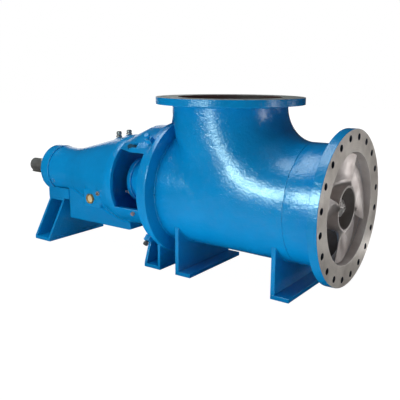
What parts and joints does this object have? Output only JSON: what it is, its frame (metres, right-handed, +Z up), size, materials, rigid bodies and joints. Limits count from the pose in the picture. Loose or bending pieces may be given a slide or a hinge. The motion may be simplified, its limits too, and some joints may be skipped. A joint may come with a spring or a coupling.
{
  "type": "horizontal axial flow pump",
  "caption": "Horizontal axial flow elbow pump with a bearing frame, a windowed yoke, welded feet and a rotor that turns in the suction bore.",
  "frame": {"origin": "on the floor under the middle of the pump, halfway between the shaft end and the suction face", "axes": "+X along the shaft from the drive end to the suction flange, +Z up"},
  "size_m": [2.12, 0.7174, 0.871],
  "materials": {
    "blue_paint": "gloss blue enamel over cast and welded steel",
    "machined_steel": "bare turned face",
    "cast_impeller": "satin cast stainless steel",
    "shaft_steel": "oiled dark steel",
    "cap_metal": "plated caps and screws",
    "sight_ring_metal": "bare turned brass",
    "sight_lens": "clear window over cream oil level disc"
  },
  "bodies": {
    "pump": {"casing_body": "blue_paint", "suction_barrel": "blue_paint", "suction_flange": "machined_steel", "discharge_flange": "blue_paint", "rear_flange": "blue_paint", "stuffing_box_cover": "blue_paint", "gland_plate": "blue_paint", "yoke_ring": "blue_paint", "yoke_roof": "blue_paint", "yoke_floor": "blue_paint", "bearing_frame": "blue_paint", "frame_foot": "blue_paint", "end_cover": "blue_paint", "front_foot_base": "blue_paint", "front_foot_saddle": "blue_paint", "middle_foot_base": "blue_paint", "middle_foot_saddle": "blue_paint", "rear_pedestal_base": "blue_paint", "rear_pedestal_front_plate": "blue_paint", "rear_pedestal_rear_plate": "blue_paint", "drive_pedestal_base": "blue_paint", "drive_pedestal_top": "blue_paint", "drive_pedestal_front_plate": "blue_paint", "drive_pedestal_rear_plate": "blue_paint", "jack_lug_upper_near": "blue_paint", "jack_lug_lower_near": "blue_paint", "jack_lug_upper_far": "blue_paint", "jack_lug_lower_far": "blue_paint", "jack_screw_upper_near": "cap_metal", "jack_screw_lower_near": "cap_metal", "jack_screw_upper_far": "cap_metal", "jack_screw_lower_far": "cap_metal", "filler_cap": "cap_metal", "breather_cap": "cap_metal", "oil_plug": "cap_metal", "drain_fitting": "cap_metal", "sight_glass_ring": "sight_ring_metal", "sight_glass_lens": "sight_lens"},
    "rotor": {"shaft": "shaft_steel", "shaft_key": "shaft_steel", "impeller": "cast_impeller", "impeller_nut": "cast_impeller"}
  },
  "joints": [
    {"name": "rotor_spin", "type": "hinge", "parent": "pump", "child": "rotor", "pos_m": [0, 0, 0.405], "axis": [1, 0, 0], "continuous": true}
  ]
}
